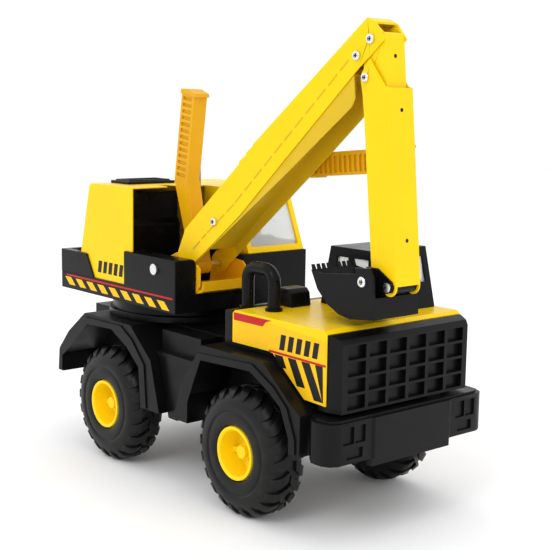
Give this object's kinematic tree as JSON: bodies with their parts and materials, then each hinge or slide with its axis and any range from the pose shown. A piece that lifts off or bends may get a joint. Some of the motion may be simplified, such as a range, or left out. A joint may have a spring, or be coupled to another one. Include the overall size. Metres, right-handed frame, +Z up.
{
  "type": "toy excavator truck",
  "caption": "Pressed-steel and plastic toy truck with a slewing house that carries an articulated boom, stick and digging bucket worked by hand levers.",
  "frame": {"origin": "centre of the footprint on the ground plane", "axes": "+X towards the grille and bumper, +Y to the truck's left, +Z up"},
  "size_m": [0.4718, 0.21, 0.4445],
  "materials": {
    "yellow_steel": "glossy enamel with light wear",
    "orange_steel": "glossy enamel",
    "yellow_plastic": "satin moulded plastic",
    "black_plastic": "satin moulded plastic",
    "tyre_black": "matte moulded tyre",
    "steel": "bright zinc plate",
    "clear_window": "clear plastic pane",
    "sticker_yellow": "printed film",
    "sticker_red": "printed film",
    "sticker_black": "printed film"
  },
  "bodies": {
    "chassis": {"chassis_tub": "black_plastic", "turntable_ring": "black_plastic", "slew_rivet": "steel", "fender_front_right": "black_plastic", "fender_front_left": "black_plastic", "fender_rear_right": "black_plastic", "fender_rear_left": "black_plastic", "front_bumper": "black_plastic", "grille_block": "black_plastic", "hood_bulkhead": "black_plastic", "hood": "yellow_steel", "truck_cab": "black_plastic", "truck_cab_windows": "clear_window", "grab_rail": "black_plastic", "deck_box": "black_plastic", "front_axle": "steel", "rear_axle": "steel", "axle_caps": "yellow_plastic"},
    "wheel_front_right": {"tyre_front_right": "tyre_black", "hub_front_right": "yellow_plastic"},
    "wheel_front_left": {"tyre_front_left": "tyre_black", "hub_front_left": "yellow_plastic"},
    "wheel_rear_right": {"tyre_rear_right": "tyre_black", "hub_rear_right": "yellow_plastic"},
    "wheel_rear_left": {"tyre_rear_left": "tyre_black", "hub_rear_left": "yellow_plastic"},
    "house": {"house_platform": "black_plastic", "counterweight": "black_plastic", "engine_housing": "yellow_steel", "roof_hatch": "black_plastic", "engine_block": "black_plastic", "operator_cab": "yellow_steel", "operator_cab_windows": "clear_window", "operator_seat": "black_plastic", "exhaust_stack": "black_plastic", "boom_bracket": "orange_steel", "boom_axle": "steel"},
    "boom": {"boom_upper_channel": "yellow_steel", "boom_lower_channel": "yellow_steel", "boom_bolts": "steel", "boom_lever": "yellow_plastic", "stick_pivot_bolt": "steel"},
    "stick": {"stick_outer_channel": "yellow_steel", "stick_inner_channel": "yellow_steel", "stick_lever": "yellow_plastic", "stick_screws": "steel", "bucket_pivot_bolt": "steel"},
    "bucket": {"bucket": "black_plastic", "bucket_bracket": "black_plastic", "bucket_screws": "steel"}
  },
  "joints": [
    {"name": "wheel_front_right_spin", "type": "hinge", "parent": "chassis", "child": "wheel_front_right", "pos_m": [0.09785, -0.085, 0.06], "axis": [0, 1, 0], "continuous": true},
    {"name": "wheel_front_left_spin", "type": "hinge", "parent": "chassis", "child": "wheel_front_left", "pos_m": [0.09785, 0.085, 0.06], "axis": [0, 1, 0], "continuous": true},
    {"name": "wheel_rear_right_spin", "type": "hinge", "parent": "chassis", "child": "wheel_rear_right", "pos_m": [-0.11975, -0.085, 0.06], "axis": [0, 1, 0], "continuous": true},
    {"name": "wheel_rear_left_spin", "type": "hinge", "parent": "chassis", "child": "wheel_rear_left", "pos_m": [-0.11975, 0.085, 0.06], "axis": [0, 1, 0], "continuous": true},
    {"name": "house_swing", "type": "hinge", "parent": "chassis", "child": "house", "pos_m": [-0.11595, 0, 0.168], "axis": [0, 0, 1], "range_deg": [-320, 0]},
    {"name": "boom_lift", "type": "hinge", "parent": "house", "child": "boom", "pos_m": [-0.05295, -0.0305, 0.209], "axis": [0, -1, 0], "range_deg": [0, 18]},
    {"name": "stick_swing", "type": "hinge", "parent": "boom", "child": "stick", "pos_m": [0.19765, -0.0305, 0.4268], "axis": [0, -1, 0], "range_deg": [0, 45]},
    {"name": "bucket_curl", "type": "hinge", "parent": "stick", "child": "bucket", "pos_m": [0.22775, -0.0305, 0.2235], "axis": [0, 1, 0], "range_deg": [-3, 45]}
  ]
}
